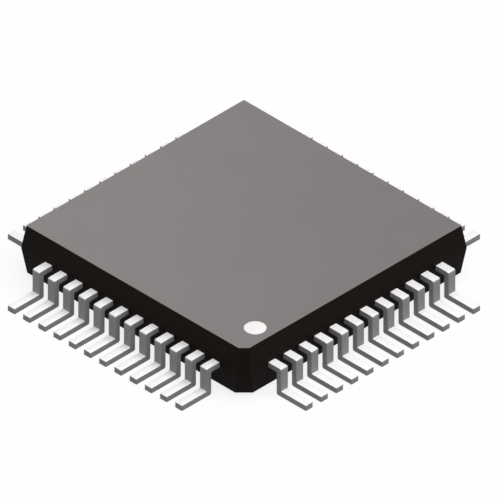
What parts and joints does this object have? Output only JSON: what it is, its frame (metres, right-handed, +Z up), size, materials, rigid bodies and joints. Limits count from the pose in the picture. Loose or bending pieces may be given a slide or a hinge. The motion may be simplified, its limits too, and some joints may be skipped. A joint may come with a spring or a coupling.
{
  "type": "quad flat pack chip",
  "caption": "Flat square moulded chip with gull-wing leads on every side, a cut-off pin-one corner and a white index dot; die, die pad and bond wires are inside.",
  "frame": {"origin": "middle of the outline on the seating plane, where the undersides of the feet meet the board", "axes": "+Z up through the body, +X and +Y along its sides; pin 1 is at the -X end of the -Y side and the pins count counter-clockwise seen from above"},
  "size_m": [0.0156, 0.0156, 0.0022],
  "materials": {
    "moulding": "matte moulded epoxy",
    "white_ink": "matte ink",
    "lead_plating": "matte tin plating",
    "bare_frame": "bare nickel-iron sheet",
    "die_adhesive": "silver-filled epoxy",
    "silicon": "polished silicon",
    "gold_wire": "drawn gold wire"
  },
  "bodies": {
    "root": {"moulded_body": "moulding", "pin_1_dot": "white_ink", "die_pad": "bare_frame", "die_attach": "die_adhesive", "die": "silicon", "bond_wires": "gold_wire", "lead_01": "lead_plating", "lead_02": "lead_plating", "lead_03": "lead_plating", "lead_04": "lead_plating", "lead_05": "lead_plating", "lead_06": "lead_plating", "lead_07": "lead_plating", "lead_08": "lead_plating", "lead_09": "lead_plating", "lead_10": "lead_plating", "lead_11": "lead_plating", "lead_12": "lead_plating", "lead_13": "lead_plating", "lead_14": "lead_plating", "lead_15": "lead_plating", "lead_16": "lead_plating", "lead_17": "lead_plating", "lead_18": "lead_plating", "lead_19": "lead_plating", "lead_20": "lead_plating", "lead_21": "lead_plating", "lead_22": "lead_plating", "lead_23": "lead_plating", "lead_24": "lead_plating", "lead_25": "lead_plating", "lead_26": "lead_plating", "lead_27": "lead_plating", "lead_28": "lead_plating", "lead_29": "lead_plating", "lead_30": "lead_plating", "lead_31": "lead_plating", "lead_32": "lead_plating", "lead_33": "lead_plating", "lead_34": "lead_plating", "lead_35": "lead_plating", "lead_36": "lead_plating", "lead_37": "lead_plating", "lead_38": "lead_plating", "lead_39": "lead_plating", "lead_40": "lead_plating", "lead_41": "lead_plating", "lead_42": "lead_plating", "lead_43": "lead_plating", "lead_44": "lead_plating", "lead_45": "lead_plating", "lead_46": "lead_plating", "lead_47": "lead_plating", "lead_48": "lead_plating"}
  },
  "joints": []
}
